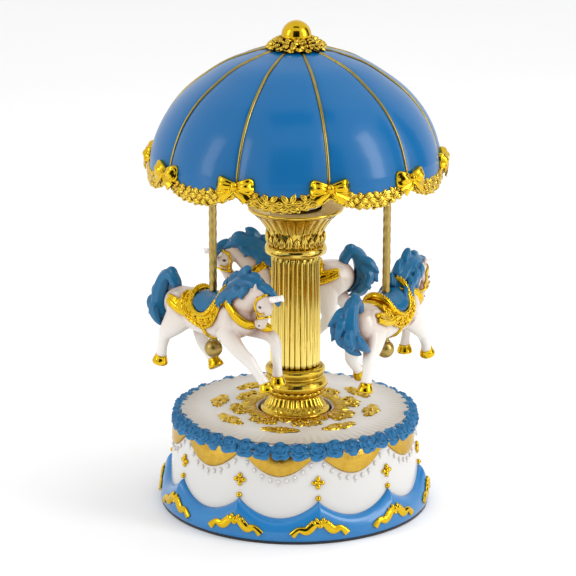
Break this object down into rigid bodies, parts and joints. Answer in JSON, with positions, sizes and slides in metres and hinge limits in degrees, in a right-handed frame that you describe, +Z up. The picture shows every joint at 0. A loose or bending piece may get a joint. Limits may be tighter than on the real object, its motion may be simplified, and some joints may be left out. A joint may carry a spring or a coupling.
{
  "type": "carousel music box",
  "caption": "Wind-up carousel music box: round scalloped base with rose rim, fluted column and domed panelled canopy carrying galloping horses on twisted poles",
  "frame": {"origin": "centre of the footprint, on the ground under the spindle", "axes": "+Z up along the spindle; -Y is the front"},
  "size_m": [0.1418, 0.141, 0.228],
  "materials": {
    "white_glaze": "gloss white lacquer on cast resin",
    "blue_paint": "gloss blue lacquer on cast resin",
    "pearl_white": "pearl white lacquer with shaded recesses",
    "plated_gold": "bright gold electroplate on cast resin",
    "pale_gold": "champagne gold metallising on cast resin",
    "antique_brass": "antique brass, turned and twisted",
    "steel": "bright steel",
    "brass": "machined brass",
    "zinc": "as-cast die-cast alloy",
    "black_felt": "black felt",
    "pressed_board": "grey pressed board",
    "white_plastic": "moulded white plastic"
  },
  "bodies": {
    "base": {"base_shell": "white_glaze", "felt_ring": "black_felt", "bottom_plate": "pressed_board", "plate_screw_1": "steel", "plate_screw_2": "steel", "plate_screw_3": "steel", "movement_frame": "zinc", "movement_screw_1": "steel", "movement_screw_2": "steel", "movement_screw_3": "steel", "movement_screw_4": "steel", "comb": "steel", "comb_screw_1": "steel", "comb_screw_2": "steel", "governor_bracket": "zinc", "click_stud": "steel"},
    "rotor": {"spring_barrel": "brass", "mainspring": "steel", "spindle": "steel", "drive_flange": "brass", "column_foot": "plated_gold", "column_shaft": "pale_gold", "column_capital": "pale_gold", "ceiling_plate": "white_plastic", "canopy_dome": "blue_paint", "canopy_garland": "plated_gold", "finial_collar": "plated_gold", "finial_ball": "plated_gold", "pole_left": "antique_brass", "pole_nut_left": "steel", "pole_ball_left": "antique_brass", "horse_left": "pearl_white", "pole_right": "antique_brass", "pole_nut_right": "steel", "pole_ball_right": "antique_brass", "horse_right": "pearl_white", "pole_back": "antique_brass", "pole_nut_back": "steel", "pole_ball_back": "antique_brass", "horse_back": "pearl_white"},
    "note_cylinder": {"cylinder_arbor": "steel", "pinned_cylinder": "brass", "cylinder_pinion": "brass", "cylinder_wheel": "brass"},
    "train": {"train_arbor": "steel", "train_pinion": "steel", "worm_wheel": "white_plastic"},
    "governor": {"governor_fan": "white_plastic"},
    "winder": {"winding_arbor": "steel", "ratchet_wheel": "steel", "winding_key": "steel"},
    "click_lever": {"click": "steel"}
  },
  "joints": [
    {"name": "carousel_spin", "type": "hinge", "parent": "base", "child": "rotor", "pos_m": [0, 0, 0.04], "axis": [0, 0, 1], "continuous": true},
    {"name": "cylinder_spin", "type": "hinge", "parent": "base", "child": "note_cylinder", "pos_m": [0.023, 0, 0.03225], "axis": [1, 0, 0], "continuous": true},
    {"name": "train_spin", "type": "hinge", "parent": "base", "child": "train", "pos_m": [0.037, 0.0082, 0.02745], "axis": [1, 0, 0], "continuous": true},
    {"name": "governor_spin", "type": "hinge", "parent": "base", "child": "governor", "pos_m": [0.0387, 0.01538, 0.03], "axis": [0, 0, 1], "continuous": true},
    {"name": "key_wind", "type": "hinge", "parent": "base", "child": "winder", "pos_m": [0, 0, 0.01], "axis": [0, 0, 1], "continuous": true},
    {"name": "click_rock", "type": "hinge", "parent": "base", "child": "click_lever", "pos_m": [0.0076, -0.0072, 0.0154], "axis": [0, 0, 1], "range_deg": [-14, 0], "stiffness_Nm_per_rad": 0.002}
  ],
  "couplings": [
    {"joint": "cylinder_spin", "follows": "carousel_spin", "ratio": 3},
    {"joint": "train_spin", "follows": "carousel_spin", "ratio": -12},
    {"joint": "governor_spin", "follows": "carousel_spin", "ratio": 288}
  ]
}
